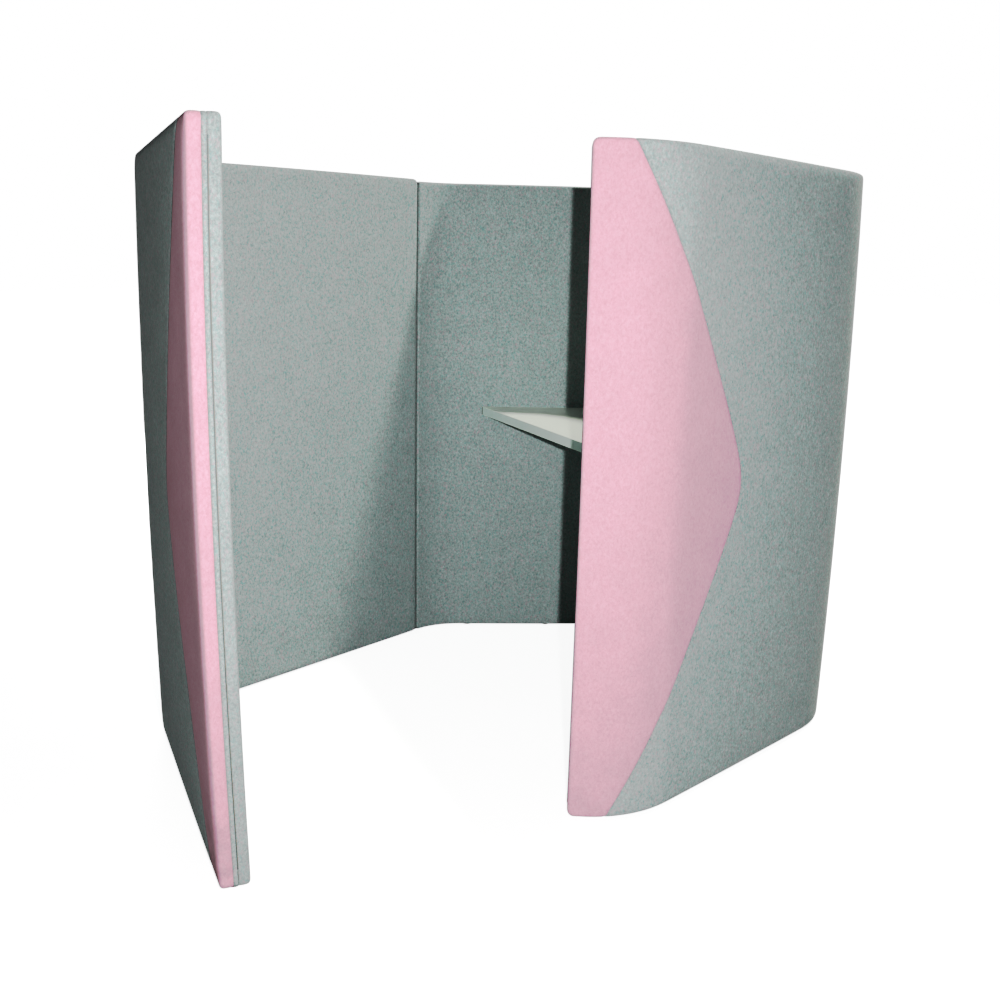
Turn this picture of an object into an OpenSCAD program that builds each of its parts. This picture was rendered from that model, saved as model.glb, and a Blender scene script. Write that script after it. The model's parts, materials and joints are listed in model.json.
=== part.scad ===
// Acoustic study carrel: three upholstered screens around a fitted worktop.
// Frame: origin on the floor under the middle of the bounding box, +Z up,
// +X towards the wall behind the worktop, -Y towards the entry.

/* [Screens] */
// Height of an upholstered screen
screen_h = 1395; // [1200:5:1500]
// Gap between the floor and the screens
floor_gap = 5; // [5:1:8]
// Thickness of a screen over its fabric
screen_t = 60; // [58:1:70]
// Outer radius of every vertical bend
bend_r = 250; // [200:5:280]
// Distance from the middle of the desk wall to its corner bends
desk_wall_half = 226; // [200:2:260]
// Turn of each desk wall corner
corner_turn = 70; // [64:1:76]
// Flat length of a side wall, between its bends
side_flat = 566; // [540:1:620]
// Turn of the bend in the middle of each side
side_turn = 46; // [40:1:52]
// Flat length at the front end of the right screen
front_flat = 40; // [36:1:60]
// Flat length of the left screen, next to the rear screen
left_link_flat = 742; // [720:1:780]
// Turn of the left screen's corner
left_turn = 66.5; // [60:0.5:70]
// Flat length of the left screen, next to the entry
left_front_flat = 741; // [700:1:760]
// Gap between neighbouring screens
joint_gap = 1; // [1:0.5:3]
// How much lower the rear screen is than its neighbours
rear_step = 6; // [0:1:12]
// Radius of the corners of a screen, seen from the front
corner_r = 15; // [10:1:20]

/* [Upholstery] */
// Thickness of the wool felt
cover_t = 2; // [1.5:0.5:3]
// Thickness of the foam under the felt
pad_t = 10; // [8:1:12]
// Distance that the foam stays back from the edges, where the felt is pulled round
pad_inset = 10; // [8:1:12]
// Depth of the closing seam on an end face, from the outer face
seam_depth = 36; // [34:1:40]
// Width of the groove that holds the zip
zip_groove = 3; // [3:0.5:4]

/* [Coloured inserts] */
// Depth that an insert wraps round the end face
insert_wrap = 26; // [20:1:30]
// Length of the right insert along the wall, at its tip
right_insert_tip = 430; // [380:2:560]
// Length of the left insert along the wall, at its tip
left_insert_tip = 370; // [340:2:560]
// Length of an insert along the top and bottom edges
insert_edge = 82; // [60:2:120]
// Height of the tip above the screen's bottom edge
insert_tip_z = 700; // [500:5:800]
// Half height of the rounded part of the tip
insert_round = 60; // [30:5:100]
// Width of the seam between an insert and the felt around it
insert_seam = 0.4; // [0.2:0.1:1]

/* [Frame] */
// Thickness of the bent plywood skins
skin_t = 3; // [3:0.5:4]
// Height of the bottom and top rails
rail_h = 22; // [18:1:30]
// Width of an upright along the wall
upright_w = 30; // [24:2:40]

/* [Worktop] */
// Height of the worktop's upper surface
desk_h = 720; // [700:5:760]
// Thickness of the worktop's core board
desk_core_t = 23; // [18:1:30]
// Thickness of each laminate
laminate_t = 1; // [0.8:0.1:1.5]
// Distance from the desk wall's outer face to the worktop's front edge
desk_depth = 658; // [600:2:700]
// Thickness of the edge band
edge_t = 2; // [1:0.5:3]
// Gap between the worktop and the felt
desk_gap = 1; // [1:0.5:3]

/* [Hardware] */
// Radius of a glide's foot
glide_r = 15; // [12:1:18]
// Thickness of a glide's foot
glide_h = 4; // [3:0.5:4]
// Radius of a glide's threaded stem
stem_r = 4; // [3:0.5:5]
// Radius of a wood screw's shank
screw_r = 2.4; // [2:0.1:3]
// Radius of a joining dowel
dowel_r = 4; // [3:0.5:5]

/* [Hidden] */

$fn = 48;
bend_steps = 16;        // flats that make up one bend
bend_strips = 2;        // strips of foam round one bend
upright_steps = 2;      // flats that make up an upright in a bend
corner_steps = 8;       // flats that make up a rounded corner
rim_steps = 36;         // straight runs along an insert's edge
layer_gap = 0.2;        // clearance between stacked layers
slack = 0.05;           // clearance round a stem, dowel or screw, and under a head
reach = 1;              // how far a cutter passes a face
far_past = 100;         // how far a long cutter starts past the wall's end
felt_grey = "#98a5a4";
felt_pink = "#dfb9c6";

screen_low = floor_gap;
pad_near = cover_t + layer_gap;
skin_near = pad_near + pad_t + layer_gap;
core_near = skin_near + skin_t + layer_gap;
core_far = screen_t - core_near;
core_mid = screen_t / 2;
end_clear = cover_t + layer_gap;
rail_low = screen_low + cover_t + layer_gap;
rail_top = rail_low + rail_h;

// How much lower the screen that is being drawn is than screen_h
$step = 0;

// Heights of a screen's top, of the top of its frame and of its top rail's underside
function screen_high() = floor_gap + screen_h - $step;
function cap_high() = screen_high() - cover_t - layer_gap;
function cap_low() = cap_high() - rail_h;

// ---- Path of a wall: a pose is [point, heading], a leg is [length] or [radius, turn, steps] ----

// Unit vector along a heading
function ahead(h) = [cos(h), sin(h)];

// Unit vector to the right of a heading, which points into the carrel
function inward(h) = [sin(h), -cos(h)];

// True for a bend, false for a flat
function bends(leg) = len(leg) > 1;

// Length of a leg along the outer face
function leg_length(leg) = bends(leg) ? leg[0] * leg[1] * PI / 180 : leg[0];

// Centre of a bend that starts at a pose
function bend_centre(pose, leg) = pose[0] + leg[0] * inward(pose[1]);

// Pose at a distance along a leg
function pose_along(pose, leg, d) =
  bends(leg)
  ? let (h = pose[1] - d / leg[0] * 180 / PI) [bend_centre(pose, leg) - leg[0] * inward(h), h]
  : [pose[0] + d * ahead(pose[1]), pose[1]];

// Pose at the start of leg i
function leg_start(screen, i) =
  i == 0
  ? screen[0]
  : let (j = i - 1) pose_along(leg_start(screen, j), screen[1][j], leg_length(screen[1][j]));

// Pose at the end of the last leg
function screen_end(screen) = leg_start(screen, len(screen[1]));

// Point of the outer face at a distance back from the end of the wall
function point_back(screen, s, i) =
  let (leg = screen[1][i], l = leg_length(leg))
  s > l && i > 0
  ? point_back(screen, s - l, i - 1)
  : pose_along(leg_start(screen, i), leg, l - s)[0];

// Points of one leg at a depth behind the outer face, without the leg's last point
function leg_points(pose, leg, depth) =
  bends(leg)
  ? [for (k = [0:leg[2] - 1])
      bend_centre(pose, leg) - (leg[0] - depth) * inward(pose[1] - leg[1] * k / leg[2])]
  : [pose[0] + depth * inward(pose[1])];

// Points of a whole wall at a depth behind the outer face
function face_points(screen, depth) =
  let (last = screen_end(screen))
  concat(
    [for (i = [0:len(screen[1]) - 1]) each leg_points(leg_start(screen, i), screen[1][i], depth)],
    [last[0] + depth * inward(last[1])]
  );

function reversed(list) = [for (i = [len(list) - 1:-1:0]) list[i]];

// A leg with a length cut off
function shortened(leg, cut) =
  bends(leg) ? [leg[0], leg[1] - cut / leg[0] * 180 / PI, leg[2]] : [leg[0] - cut];

// A screen cut short by a length at its start and another at its end
function trimmed(screen, first, last) =
  let (legs = screen[1], n = len(legs) - 1)
  [
    pose_along(screen[0], legs[0], first),
    [for (i = [0:n]) shortened(legs[i], (i == 0 ? first : 0) + (i == n ? last : 0))]
  ];

// ---- The three walls. The rear and left walls are drawn on the right and mirrored ----

side_legs = [
  [desk_wall_half - joint_gap / 2], [bend_r, corner_turn, bend_steps], [side_flat],
  [bend_r, side_turn, bend_steps], [front_flat]
];
rear_legs = [for (i = [0:3]) side_legs[i]];
left_legs = [[left_link_flat], [bend_r, left_turn, bend_steps], [left_front_flat]];

raw_side = [[[0, -joint_gap / 2], -90], side_legs];
raw_rear = [raw_side[0], rear_legs];
raw_left = [pose_along(screen_end(raw_rear), [joint_gap], joint_gap), left_legs];
raw_points = concat(
  face_points(raw_side, 0), face_points(raw_side, screen_t),
  face_points(raw_left, 0), face_points(raw_left, screen_t)
);
low_x = min([for (p = raw_points) p[0]]);
high_x = max([for (p = raw_points) p[0]]);
rear_y = -min([for (p = raw_points) p[1]]);
front_y = min([for (p = face_points(raw_side, 0)) p[1]]);
front_left_y = -max([for (p = face_points(raw_left, 0)) p[1]]);
entry_y = min(front_y, front_left_y);
middle_x = (low_x + high_x) / 2;
middle_y = (rear_y + entry_y) / 2;

side_wall = [[[-middle_x, -joint_gap / 2], -90], side_legs];
rear_wall = [side_wall[0], rear_legs];
left_wall = [pose_along(screen_end(rear_wall), [joint_gap], joint_gap), left_legs];

shared_uprights = [[0, end_clear], [0, 85], [0, 190], [2, 135], [2, 325], [2, 525]];
side_uprights = concat(shared_uprights, [[4, front_flat - end_clear - upright_w]]);
rear_uprights = concat(
  shared_uprights, [[3, leg_length(rear_legs[3]) - end_clear - upright_w]]
);
left_uprights = [
  [0, end_clear], [0, 360], [0, 712], [2, 6], [2, 350],
  [2, left_front_flat - end_clear - upright_w]
];
side_glides = [[0, 70], [2, side_flat / 2], [4, 10]];
rear_glides = [[0, 70], [2, side_flat / 2], [2, 540]];
left_glides = [[0, 70], [0, 690], [2, left_front_flat / 2], [2, left_front_flat - 30]];
bracket_spots = [[0, 100], [2, 150], [2, 340]];
link_heights = [200, 700, 1200];

// Puts a right-hand piece in the carrel
module on_right() translate([0, -middle_y, 0]) children();

// Puts a mirrored piece in the carrel
module on_left() translate([0, -middle_y, 0]) mirror([0, 1, 0]) children();

// The same for a piece of the rear screen, which is lower
module on_rear() {
  $step = rear_step;
  on_left() children();
}

// ---- Building blocks ----

// A sheet that follows a wall, from depth near to depth far and from height low to high
module sheet(screen, near, far, low, high, first = 0, last = 0) {
  short = trimmed(screen, first, last);
  translate([0, 0, low])
    linear_extrude(high - low)
      polygon(concat(face_points(short, near), reversed(face_points(short, far))));
}

// Puts children at a spot [leg, distance] of a wall: X along it, -Y into the carrel
module at_spot(screen, spot, depth = 0) {
  pose = pose_along(leg_start(screen, spot[0]), screen[1][spot[0]], spot[1]);
  translate([each (pose[0] + depth * inward(pose[1])), 0])
    rotate([0, 0, pose[1]])
      children();
}

// The same over a list of spots
module at_spots(screen, spots, depth = 0)
  for (spot = spots) at_spot(screen, spot, depth) children();

// What is cut off to round one corner with radius r
module corner_cut(r) {
  rim = [for (k = [0:corner_steps])
    let (a = 90 * k / corner_steps) [r - r * sin(a), r - r * cos(a)]];
  lead = 1.5 * rim[0] - 0.5 * rim[1];
  between = [for (k = [1:corner_steps - 1]) rim[k]];
  rotate([90, 0, 0])
    translate([0, 0, -reach])
      linear_extrude(screen_t + 2 * reach)
        polygon(concat(
          [[-reach, -reach], [lead[0], -reach], lead], between,
          [[lead[1], lead[0]], [-reach, lead[0]]]
        ));
}

// The cuts of a layer's four corners, for a layer that stays inset behind the felt's outside
module corner_cuts(screen, inset) {
  poses = [screen[0], screen_end(screen)];
  for (at = [0, 1], top = [0, 1])
    translate([each poses[at][0], top == 1 ? screen_high() - inset : screen_low + inset])
      rotate([0, 0, poses[at][1]])
        mirror([at, 0, 0])
          mirror([0, 0, top])
            translate([inset, 0, 0])
              corner_cut(corner_r - inset);
}

// Half of a felt cover: an open box of felt, one cover_t thick, from depth near to far
module felt_shell(screen, near, far, pocket_near, pocket_far) {
  difference() {
    sheet(screen, near, far, screen_low, screen_high());
    corner_cuts(screen, 0);
    difference() {
      sheet(
        screen, pocket_near, pocket_far, screen_low + cover_t, screen_high() - cover_t,
        cover_t, cover_t
      );
      corner_cuts(screen, cover_t);
    }
  }
}

// Holes for the glide stems through whatever is at the bottom of a wall
module stem_holes(screen, spots, r)
  at_spots(screen, spots, core_mid) cylinder(r = r, h = rail_top + reach);

// Length of an insert along the wall at height z above the bottom edge: two straight sides
// that meet in a rounded tip
function insert_length(z, tip) =
  let (
    up = z - insert_tip_z,
    far = up < 0 ? insert_tip_z : screen_h - insert_tip_z,
    round_off = sqrt(far * far + insert_round * insert_round) - insert_round,
    drop = sqrt(up * up + insert_round * insert_round) - insert_round
  )
  tip - (tip - insert_edge) * drop / round_off;

// Prism over an insert's outline, cut square to the middle of the wall that it covers
module insert_prism(screen, tip, seam) {
  last_leg = len(screen[1]) - 1;
  end = screen_end(screen)[0];
  chord = point_back(screen, tip, last_leg) - end;
  along = chord / norm(chord);
  rim = [for (k = [0:rim_steps])
    let (
      z = -reach + (screen_h + 2 * reach) * k / rim_steps,
      p = point_back(screen, insert_length(z, tip) + seam, last_leg)
    )
    [(p - end) * along, z]];
  translate([end[0], end[1], screen_low])
    rotate([90, 0, atan2(along[1], along[0])])
      linear_extrude(2 * bend_r, center = true)
        polygon(concat([[-far_past, screen_h + reach], [-far_past, -reach]], rim));
}

// ---- Layers of a wall ----

// Holes for the joining dowels in an end of a wall
module dowel_holes(spot_pose) {
  for (z = link_heights)
    translate([each (spot_pose[0] + core_mid * inward(spot_pose[1])), z])
      rotate([90, 0, spot_pose[1] + 90])
        cylinder(r = dowel_r + slack, h = 2 * upright_w, center = true);
}

module bottom_rail(screen, glides, linked_ends) {
  color("tan") difference() {
    sheet(screen, core_near, core_far, rail_low, rail_top, end_clear, end_clear);
    corner_cuts(screen, end_clear);
    at_spots(screen, glides, core_mid)
      cylinder(r = nut_r + slack, h = rail_top + reach);
    for (pose = linked_ends) link_screw_holes(pose);
  }
}

module top_rail(screen) {
  color("tan") difference() {
    sheet(screen, core_near, core_far, cap_low(), cap_high(), end_clear, end_clear);
    corner_cuts(screen, end_clear);
  }
}

// Each upright stands at its spot and runs on along the wall for upright_w
module upright_run(screen, spots, extra = 0) {
  for (spot = spots) {
    leg = screen[1][spot[0]];
    start = pose_along(leg_start(screen, spot[0]), leg, spot[1] - extra);
    width = upright_w + 2 * extra;
    piece = bends(leg) ? [leg[0], width / leg[0] * 180 / PI, upright_steps] : [width];
    sheet(
      [start, [piece]], core_near - extra, core_far + extra,
      rail_top + layer_gap - extra, cap_low() - layer_gap + extra
    );
  }
}

module uprights(screen, spots, linked_ends, brackets = []) {
  color("wheat") difference() {
    upright_run(screen, spots);
    for (pose = linked_ends) dowel_holes(pose);
    at_spots(screen, brackets, bracket_depth) wall_screws(slack);
  }
}

module infill(screen, spots) {
  color("khaki") difference() {
    sheet(
      screen, core_near, core_far, rail_top + layer_gap, cap_low() - layer_gap,
      end_clear + upright_w + layer_gap, end_clear + upright_w + layer_gap
    );
    upright_run(screen, spots, layer_gap);
  }
}

module outer_skin(screen) {
  color("peru") difference() {
    sheet(screen, skin_near, skin_near + skin_t, rail_low, cap_high(), end_clear, end_clear);
    corner_cuts(screen, end_clear);
  }
}

module inner_skin(screen, brackets = []) {
  color("peru") difference() {
    sheet(
      screen, screen_t - skin_near - skin_t, screen_t - skin_near, rail_low, cap_high(),
      end_clear, end_clear
    );
    corner_cuts(screen, end_clear);
    at_spots(screen, brackets, bracket_depth) wall_screws(slack);
  }
}

// The foam is cut in one piece for each flat, and in strips for each bend
module pad(screen, near, far) {
  short = trimmed(screen, pad_inset, pad_inset);
  for (i = [0:len(short[1]) - 1]) {
    leg = short[1][i];
    strips = bends(leg) ? bend_strips : 1;
    strip = leg_length(leg) / strips;
    for (k = [0:strips - 1]) {
      start = pose_along(leg_start(short, i), leg, k * strip + layer_gap / 2);
      cut = strip - layer_gap;
      piece = bends(leg) ? [leg[0], cut / leg[0] * 180 / PI, leg[2] / strips] : [cut];
      sheet([start, [piece]], near, far, screen_low + pad_inset, screen_high() - pad_inset);
    }
  }
}

module outer_pad(screen) color("ivory") pad(screen, pad_near, pad_near + pad_t);

module inner_pad(screen, brackets = []) {
  color("ivory") difference() {
    pad(screen, screen_t - pad_near - pad_t, screen_t - pad_near);
    at_spots(screen, brackets, bracket_depth) wall_screws(slack);
  }
}

// The felt of the outer face, which also covers the ends, the top and the bottom up to the seam
module outer_cover(screen, glides, linked_ends, insert_tip = 0) {
  color(felt_grey) difference() {
    felt_shell(
      screen, 0, seam_depth - zip_groove / 2, cover_t, seam_depth + reach
    );
    stem_holes(screen, glides, stem_r + reach);
    for (pose = linked_ends) {
      dowel_holes(pose);
      link_screw_holes(pose);
    }
    if (insert_tip > 0)
      intersection() {
        sheet(
          screen, -reach, insert_wrap + insert_seam, screen_low - reach, screen_high() + reach,
          0, -reach
        );
        insert_prism(screen, insert_tip, insert_seam);
      }
  }
}

// The coloured felt at the front of an outer face
module insert(screen, glides, insert_tip) {
  color(felt_pink) difference() {
    intersection() {
      felt_shell(screen, 0, insert_wrap, cover_t, insert_wrap + reach);
      insert_prism(screen, insert_tip, 0);
    }
    stem_holes(screen, glides, stem_r + reach);
  }
}

// The felt of the inner face
module inner_cover(screen, glides, brackets = []) {
  color(felt_grey) difference() {
    felt_shell(
      screen, seam_depth + zip_groove / 2, screen_t, seam_depth, screen_t - cover_t
    );
    stem_holes(screen, glides, stem_r + reach);
    at_spots(screen, brackets, bracket_depth) wall_screws(slack);
  }
}

// ---- Zips ----

zip_low = screen_low + 30;
zip_high = screen_high() - 25;
zip_chain_w = 2.4;
zip_chain_t = 1;
slider_h = 12;
slider_w = 2.6;
slider_t = 0.9;
slider_pull_h = 14;

// Puts children on a wall's end face at the seam: X out of the face, Y across it
module on_end_face(screen) {
  last = screen_end(screen);
  translate([each (last[0] + seam_depth * inward(last[1])), 0])
    rotate([0, 0, last[1]])
      children();
}

// The closed chain of the zip lies at the bottom of its groove
module zip_chain(screen)
  color("slategray")
    on_end_face(screen)
      translate([-cover_t, -zip_chain_w / 2, zip_low])
        cube([zip_chain_t, zip_chain_w, zip_high - zip_low]);

// The slider rides on the chain, and its pull hangs below it, flush with the felt
module zip_slider(screen) {
  color("silver")
    on_end_face(screen) {
      translate([-slider_t, -slider_w / 2, zip_low])
        cube([slider_t, slider_w, slider_h]);
      translate([-slider_t, -slider_w / 4, zip_low - slider_pull_h])
        cube([slider_t / 2, slider_w / 2, slider_pull_h + slider_h / 2]);
    }
}

// ---- Worktop ----

desk_front_x = -middle_x - desk_depth;
desk_low = desk_h - desk_core_t - 2 * laminate_t;
bracket_top = desk_low - slack;

// Outline of the worktop from a distance behind its front edge on, fitted between the walls
module desk_outline(set_back, depth) {
  side = face_points(side_wall, screen_t + desk_gap);
  rear = [for (p = side) [p[0], -p[1]]];
  intersection() {
    polygon(concat(side, reversed(rear)));
    translate([desk_front_x + set_back, -desk_depth])
      square([depth, 2 * desk_depth]);
  }
}

module desk_layer(low, high, set_back = 0, depth = desk_depth)
  on_right() translate([0, 0, low]) linear_extrude(high - low) desk_outline(set_back, depth);

module worktop_core() {
  color("burlywood")
    difference() {
      desk_layer(desk_low + laminate_t, desk_h - laminate_t, edge_t);
      all_brackets() desk_screws(slack);
    }
}

module worktop_laminate()
  color("white") desk_layer(desk_h - laminate_t, desk_h);

module worktop_backing() {
  color("white")
    difference() {
      desk_layer(desk_low, desk_low + laminate_t);
      all_brackets() desk_screws(slack);
    }
}

module worktop_edge()
  color("darkseagreen")
    desk_layer(desk_low + laminate_t, desk_h - laminate_t, 0, edge_t);

// ---- Brackets and screws ----

bracket_w = 40;
bracket_leg = 50;
bracket_t = 3;
screw_reach = 16;
wall_screw_reach = 28;
screw_head_r = 4.5;
screw_head_t = 2.5;
screw_inset = 10;
screw_pitch = 20;

bracket_depth = screen_t + slack;

// Puts children on the inner face of both side walls, at each bracket
module all_brackets() {
  on_right() at_spots(side_wall, bracket_spots, bracket_depth) children();
  on_left() at_spots(side_wall, bracket_spots, bracket_depth) children();
}

// Screws through a bracket into the wall. They are drawn wider by extra for their holes
module wall_screws(extra = 0) {
  for (side = [-1, 1])
    translate([side * screw_pitch / 2, -bracket_t - reach, bracket_top - bracket_leg + screw_inset])
      rotate([-90, 0, 0])
        cylinder(r = screw_r + extra, h = wall_screw_reach + extra);
}

// Screws through a bracket into the worktop
module desk_screws(extra = 0) {
  for (side = [-1, 1])
    translate([side * screw_pitch / 2, screw_inset - bracket_leg, bracket_top - bracket_t - reach])
      cylinder(r = screw_r + extra, h = screw_reach + extra);
}

// Pan heads of the screws in a bracket
module screw_heads() {
  for (side = [-1, 1]) {
    translate([side * screw_pitch / 2, -bracket_t - slack, bracket_top - bracket_leg + screw_inset])
      rotate([90, 0, 0])
        cylinder(r = screw_head_r, h = screw_head_t);
    translate([side * screw_pitch / 2, screw_inset - bracket_leg, bracket_top - bracket_t - slack])
      mirror([0, 0, 1])
        cylinder(r = screw_head_r, h = screw_head_t);
  }
}

module bracket() {
  difference() {
    union() {
      translate([-bracket_w / 2, -bracket_t, bracket_top - bracket_leg])
        cube([bracket_w, bracket_t, bracket_leg]);
      translate([-bracket_w / 2, -bracket_leg, bracket_top - bracket_t])
        cube([bracket_w, bracket_leg, bracket_t]);
    }
    wall_screws(2 * slack);
    desk_screws(2 * slack);
  }
}

module desk_brackets() color("dimgray") all_brackets() bracket();

module bracket_screws() {
  color("silver")
    all_brackets() {
      wall_screws();
      desk_screws();
      screw_heads();
    }
}

// ---- Links between screens ----

link_plate_l = 90;
link_plate_w = 26;
link_plate_t = 3;
link_screw_reach = 16;
link_screw_spacing = 30;
dowel_l = 44;

rear_link = screen_end(rear_wall);
desk_link = [[-middle_x, 0], -90];

// Screws of a linking plate, on both sides of a joint
module link_screw_holes(pose, extra = slack) {
  translate([each (pose[0] + core_mid * inward(pose[1])), screen_low - link_plate_t])
    rotate([0, 0, pose[1]])
      for (side = [-1, 1])
        translate([side * link_screw_spacing, 0, 0])
          cylinder(r = screw_r + extra, h = link_screw_reach + extra);
}

module link_plate(pose) {
  difference() {
    translate([each (pose[0] + core_mid * inward(pose[1])), screen_low - link_plate_t])
      rotate([0, 0, pose[1]])
        translate([-link_plate_l / 2, -link_plate_w / 2, 0])
          cube([link_plate_l, link_plate_w, link_plate_t - layer_gap]);
    link_screw_holes(pose, 2 * slack);
  }
}

module dowels(pose) {
  for (z = link_heights)
    translate([each (pose[0] + core_mid * inward(pose[1])), z])
      rotate([90, 0, pose[1] + 90])
        cylinder(r = dowel_r, h = dowel_l, center = true);
}

module link_plates() {
  color("dimgray") {
    on_right() link_plate(desk_link);
    on_left() link_plate(rear_link);
  }
}

module link_screws() {
  color("silver") {
    on_right() link_screw_holes(desk_link, 0);
    on_left() link_screw_holes(rear_link, 0);
  }
}

module link_dowels() {
  color("silver") {
    on_right() dowels(desk_link);
    on_left() dowels(rear_link);
  }
}

// ---- Levelling glides ----

nut_r = 6;
nut_h = 16;
stem_top = rail_low + nut_h + 1;

// A foot on a threaded stem, wound down from a nut in the bottom rail
module glide(screen, spot) {
  color("dimgray")
    at_spot(screen, spot, core_mid) {
      cylinder(r = glide_r, h = glide_h);
      cylinder(r = stem_r, h = stem_top);
    }
}

module nuts(screen, spots) {
  at_spots(screen, spots, core_mid)
    translate([0, 0, rail_low])
      difference() {
        cylinder(r = nut_r, h = nut_h);
        translate([0, 0, -reach]) cylinder(r = stem_r + slack, h = nut_h + 2 * reach);
      }
}

module glide_nuts() {
  color("silver") {
    on_right() nuts(side_wall, side_glides);
    on_left() nuts(rear_wall, rear_glides);
    on_left() nuts(left_wall, left_glides);
  }
}

// ---- Nodes: the right screen ----

on_right() bottom_rail(side_wall, side_glides, [desk_link]);  // right_bottom_rail
on_right() top_rail(side_wall);  // right_top_rail
on_right() uprights(side_wall, side_uprights, [desk_link], bracket_spots);  // right_uprights
on_right() infill(side_wall, side_uprights);  // right_infill
on_right() inner_skin(side_wall, bracket_spots);  // right_inner_skin
on_right() outer_skin(side_wall);  // right_outer_skin
on_right() inner_pad(side_wall, bracket_spots);  // right_inner_pad
on_right() outer_pad(side_wall);  // right_outer_pad
on_right() inner_cover(side_wall, side_glides, bracket_spots);  // right_inner_cover
on_right() outer_cover(side_wall, side_glides, [desk_link], right_insert_tip);  // right_outer_cover
on_right() insert(side_wall, side_glides, right_insert_tip);  // right_insert

// ---- Nodes: the rear screen ----

on_rear() bottom_rail(rear_wall, rear_glides, [desk_link, rear_link]);  // rear_bottom_rail
on_rear() top_rail(rear_wall);  // rear_top_rail
on_rear() uprights(rear_wall, rear_uprights, [desk_link, rear_link], bracket_spots);
on_rear() infill(rear_wall, rear_uprights);  // rear_infill
on_rear() inner_skin(rear_wall, bracket_spots);  // rear_inner_skin
on_rear() outer_skin(rear_wall);  // rear_outer_skin
on_rear() inner_pad(rear_wall, bracket_spots);  // rear_inner_pad
on_rear() outer_pad(rear_wall);  // rear_outer_pad
on_rear() inner_cover(rear_wall, rear_glides, bracket_spots);  // rear_inner_cover
on_rear() outer_cover(rear_wall, rear_glides, [desk_link, rear_link]);  // rear_outer_cover

// ---- Nodes: the left screen ----

on_left() bottom_rail(left_wall, left_glides, [rear_link]);  // left_bottom_rail
on_left() top_rail(left_wall);  // left_top_rail
on_left() uprights(left_wall, left_uprights, [rear_link]);
on_left() infill(left_wall, left_uprights);  // left_infill
on_left() inner_skin(left_wall);  // left_inner_skin
on_left() outer_skin(left_wall);  // left_outer_skin
on_left() inner_pad(left_wall);  // left_inner_pad
on_left() outer_pad(left_wall);  // left_outer_pad
on_left() inner_cover(left_wall, left_glides);  // left_inner_cover
on_left() outer_cover(left_wall, left_glides, [rear_link], left_insert_tip);  // left_outer_cover
on_left() insert(left_wall, left_glides, left_insert_tip);  // left_insert

// ---- Nodes: zips ----

on_right() zip_chain(side_wall);  // right_zip
on_right() zip_slider(side_wall);  // right_zip_slider
on_left() zip_chain(left_wall);  // left_zip
on_left() zip_slider(left_wall);  // left_zip_slider

// ---- Nodes: worktop, hardware and glides ----

worktop_core();
worktop_laminate();
worktop_backing();
worktop_edge();
desk_brackets();
bracket_screws();
link_plates();
link_screws();
link_dowels();
glide_nuts();
on_right() glide(side_wall, side_glides[0]);  // glide_right_desk
on_right() glide(side_wall, side_glides[1]);  // glide_right_side
on_right() glide(side_wall, side_glides[2]);  // glide_right_front
on_left() glide(rear_wall, rear_glides[0]);  // glide_rear_desk
on_left() glide(rear_wall, rear_glides[1]);  // glide_rear_side
on_left() glide(rear_wall, rear_glides[2]);  // glide_rear_link
on_left() glide(left_wall, left_glides[0]);  // glide_left_link
on_left() glide(left_wall, left_glides[1]);  // glide_left_corner
on_left() glide(left_wall, left_glides[2]);  // glide_left_middle
on_left() glide(left_wall, left_glides[3]);  // glide_left_front
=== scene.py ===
"""Study carrel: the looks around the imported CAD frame. Lengths are in metres, in the CAD's frame."""

import json
import math

import bmesh
import bpy
import numpy as np
from mathutils import Matrix, Vector, noise


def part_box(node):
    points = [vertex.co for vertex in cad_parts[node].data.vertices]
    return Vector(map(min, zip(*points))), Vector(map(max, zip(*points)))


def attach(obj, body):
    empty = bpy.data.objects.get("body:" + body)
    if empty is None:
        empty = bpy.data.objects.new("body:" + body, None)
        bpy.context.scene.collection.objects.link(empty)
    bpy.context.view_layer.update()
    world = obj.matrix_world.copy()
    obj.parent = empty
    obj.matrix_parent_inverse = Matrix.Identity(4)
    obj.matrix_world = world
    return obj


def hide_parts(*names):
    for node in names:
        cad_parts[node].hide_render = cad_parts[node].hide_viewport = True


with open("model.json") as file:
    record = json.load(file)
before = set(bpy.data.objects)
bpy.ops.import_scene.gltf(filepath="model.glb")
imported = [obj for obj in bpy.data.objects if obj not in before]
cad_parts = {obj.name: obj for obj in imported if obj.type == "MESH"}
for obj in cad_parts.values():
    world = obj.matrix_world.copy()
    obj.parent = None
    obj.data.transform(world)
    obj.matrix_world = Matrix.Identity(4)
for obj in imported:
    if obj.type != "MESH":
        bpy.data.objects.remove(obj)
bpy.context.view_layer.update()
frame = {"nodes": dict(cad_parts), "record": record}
MM = 0.001

# ---- Walls: the same path as in the CAD. A leg is (length,) or (radius, turn in degrees) ----

THICK = 60 * MM             # of a screen, over its felt
SIDE_LEGS = [(225.5 * MM,), (250 * MM, 70.0), (566 * MM,), (250 * MM, 46.0), (40 * MM,)]
LEFT_LEGS = [(742 * MM,), (250 * MM, 66.5), (741 * MM,)]
SEAM_DEPTH = 36 * MM        # of the closing seam, behind the outer face
INSERT_WRAP = 26 * MM       # depth that an insert wraps round the end
INSERT_EDGE = 82 * MM       # length of an insert along the top and bottom
INSERT_TIP_Z = 700 * MM
INSERT_ROUND = 60 * MM
RIGHT_TIP, LEFT_TIP = 430 * MM, 370 * MM        # length of each insert at its tip
SCREEN_H = 1395 * MM
REAR_STEP = 6 * MM          # the rear screen is lower by this
FLOOR_GAP = 5 * MM
HALF_JOINT = 0.5 * MM
EDGE_R = 9 * MM             # of the felt's edges
CORNER_R = 15 * MM          # of a screen's corners, seen from the front

# ---- Grid of the felt ----

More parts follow.
